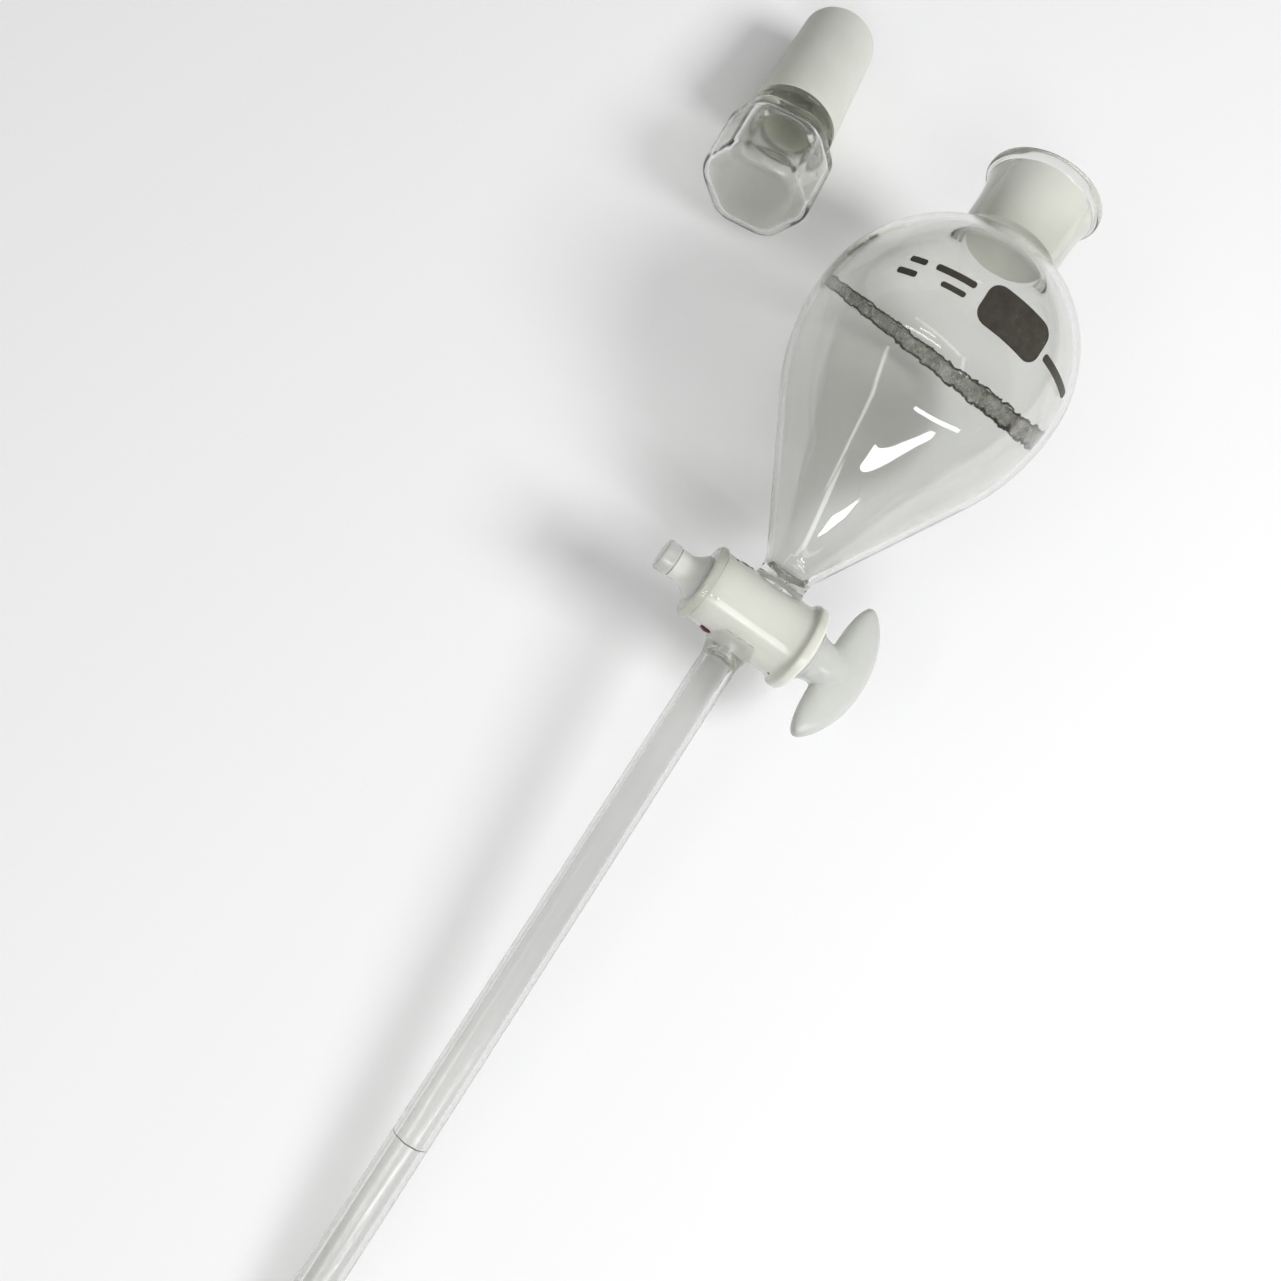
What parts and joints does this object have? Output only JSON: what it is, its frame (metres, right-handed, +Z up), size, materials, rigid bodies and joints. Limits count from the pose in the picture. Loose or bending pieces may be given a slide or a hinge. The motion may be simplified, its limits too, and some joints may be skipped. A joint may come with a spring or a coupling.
{
  "type": "separatory funnel",
  "caption": "Pear-shaped glass separatory funnel lying on a bench, with a turning glass stopcock, a long bevelled stem and a loose hollow stopper beside it.",
  "frame": {"origin": "on the bench, under the middle of the whole layout of funnel and stopper", "axes": "+Z up from the bench, +X along the funnel towards its mouth, -Y towards the stopcock handle"},
  "size_m": [0.3354, 0.1066, 0.0632],
  "materials": {
    "clear_glass": "clear blown borosilicate glass",
    "ground_glass": "ground, frosted cream-white",
    "enamel": "fired-on brown-black enamel, satin"
  },
  "bodies": {
    "funnel": {"barrel_bead": "clear_glass", "barrel_rim": "clear_glass", "bulb_cone": "clear_glass", "bulb_dome": "clear_glass", "enamel_bar_lower": "enamel", "enamel_bar_side": "enamel", "enamel_bar_upper": "enamel", "enamel_dash_lower": "enamel", "enamel_dash_upper": "enamel", "enamel_patch": "enamel", "inlet_arm": "clear_glass", "neck_lip": "clear_glass", "neck_socket": "ground_glass", "outlet_arm": "clear_glass", "stem_tip": "clear_glass", "stem_tube": "clear_glass", "stopcock_barrel": "ground_glass"},
    "plug": {"plug_button": "clear_glass", "plug_cone": "ground_glass", "plug_handle": "clear_glass", "plug_neck": "clear_glass", "plug_shank": "clear_glass"},
    "stopper": {"stopper_cap": "clear_glass", "stopper_ground": "ground_glass", "stopper_head": "clear_glass", "stopper_tip": "clear_glass", "stopper_waist": "clear_glass"}
  },
  "joints": [
    {"name": "stopcock_turn", "type": "hinge", "parent": "funnel", "child": "plug", "pos_m": [0.01476, -0.01915, 0.02428], "axis": [0.0228, -0.9781, -0.2067], "continuous": true},
    {"name": "stopper_lift", "type": "slide", "parent": "funnel", "child": "stopper", "axis": [0, 0, 1], "range_m": [0, 0.1]}
  ]
}
